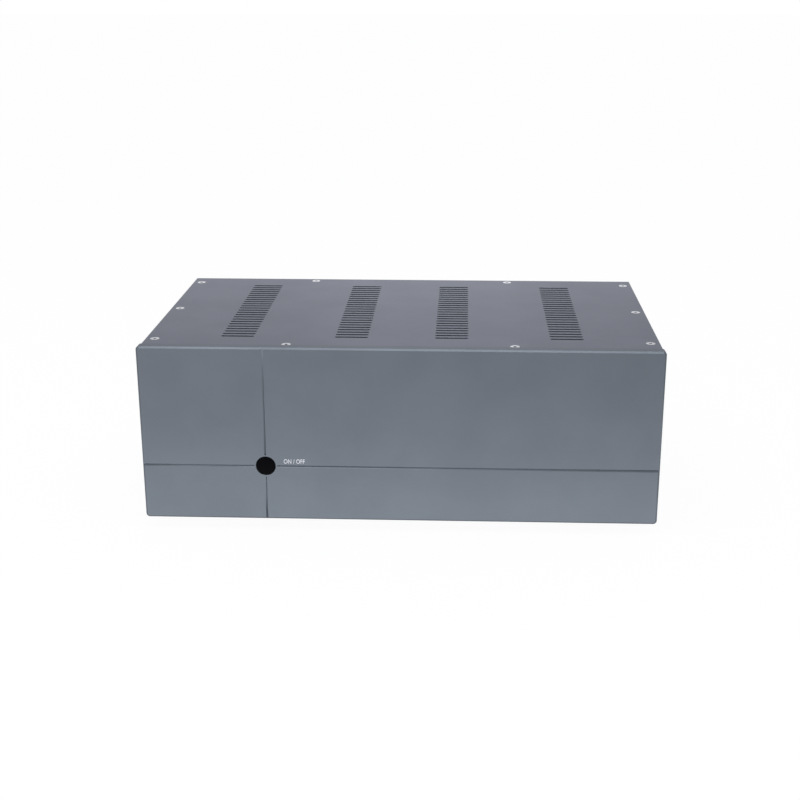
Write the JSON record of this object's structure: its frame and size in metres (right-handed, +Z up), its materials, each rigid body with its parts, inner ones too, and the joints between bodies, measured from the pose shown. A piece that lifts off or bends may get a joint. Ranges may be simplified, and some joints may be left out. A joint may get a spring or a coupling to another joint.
{
  "type": "amplifier chassis",
  "caption": "Low rectangular metal amplifier enclosure with a thick grooved front panel, a round power button, a slotted screwed-on top cover and round feet.",
  "frame": {"origin": "middle of the footprint at the level the feet stand on", "axes": "+X along the front panel to the right as seen from the front, +Y from the front panel to the rear, +Z up"},
  "size_m": [0.43, 0.259, 0.16],
  "materials": {
    "panel_aluminium": "fine bead-blasted, grey anodised plate",
    "body_aluminium": "fine bead-blasted, grey anodised extrusion and sheet",
    "steel_sheet": "zinc plated folded sheet",
    "button_black": "gloss black, slightly domed",
    "plunger_nylon": "natural white nylon",
    "switch_plastic": "black moulded plastic",
    "foot_aluminium": "turned, dark grey anodised",
    "pad_rubber": "matt black rubber",
    "screw_steel": "bright plated steel"
  },
  "bodies": {
    "chassis": {"front_panel": "panel_aluminium", "side_panel_left": "body_aluminium", "side_panel_right": "body_aluminium", "rear_panel": "body_aluminium", "top_cover": "body_aluminium", "inner_front_plate": "steel_sheet", "bottom_plate": "steel_sheet", "switch_bracket": "steel_sheet", "switch_housing": "switch_plastic", "foot_front_left": "foot_aluminium", "foot_front_right": "foot_aluminium", "foot_rear_left": "foot_aluminium", "foot_rear_right": "foot_aluminium", "foot_pad_front_left": "pad_rubber", "foot_pad_front_right": "pad_rubber", "foot_pad_rear_left": "pad_rubber", "foot_pad_rear_right": "pad_rubber", "cover_screw_01": "screw_steel", "cover_screw_02": "screw_steel", "cover_screw_03": "screw_steel", "cover_screw_04": "screw_steel", "cover_screw_05": "screw_steel", "cover_screw_06": "screw_steel", "cover_screw_07": "screw_steel", "cover_screw_08": "screw_steel", "cover_screw_09": "screw_steel", "cover_screw_10": "screw_steel", "base_screw_01": "screw_steel", "base_screw_02": "screw_steel", "base_screw_03": "screw_steel", "base_screw_04": "screw_steel", "base_screw_05": "screw_steel", "base_screw_06": "screw_steel", "base_screw_07": "screw_steel", "base_screw_08": "screw_steel", "base_screw_09": "screw_steel", "base_screw_10": "screw_steel", "rear_screw_1": "screw_steel", "rear_screw_2": "screw_steel", "rear_screw_3": "screw_steel", "rear_screw_4": "screw_steel", "plate_screw_1": "screw_steel", "plate_screw_2": "screw_steel", "plate_screw_3": "screw_steel", "plate_screw_4": "screw_steel", "panel_screw_1": "screw_steel", "panel_screw_2": "screw_steel", "panel_screw_3": "screw_steel", "panel_screw_4": "screw_steel", "bracket_screw_left": "screw_steel", "bracket_screw_right": "screw_steel", "switch_screw_front": "screw_steel", "switch_screw_rear": "screw_steel", "foot_screw_front_left": "screw_steel", "foot_screw_front_right": "screw_steel", "foot_screw_rear_left": "screw_steel", "foot_screw_rear_right": "screw_steel"},
    "button": {"power_button": "button_black", "switch_plunger": "plunger_nylon"}
  },
  "joints": [
    {"name": "power_button_press", "type": "slide", "parent": "chassis", "child": "button", "axis": [0, 1, 0], "range_m": [0, 0.003], "stiffness_N_per_m": 600, "springref_m": -0.002}
  ]
}
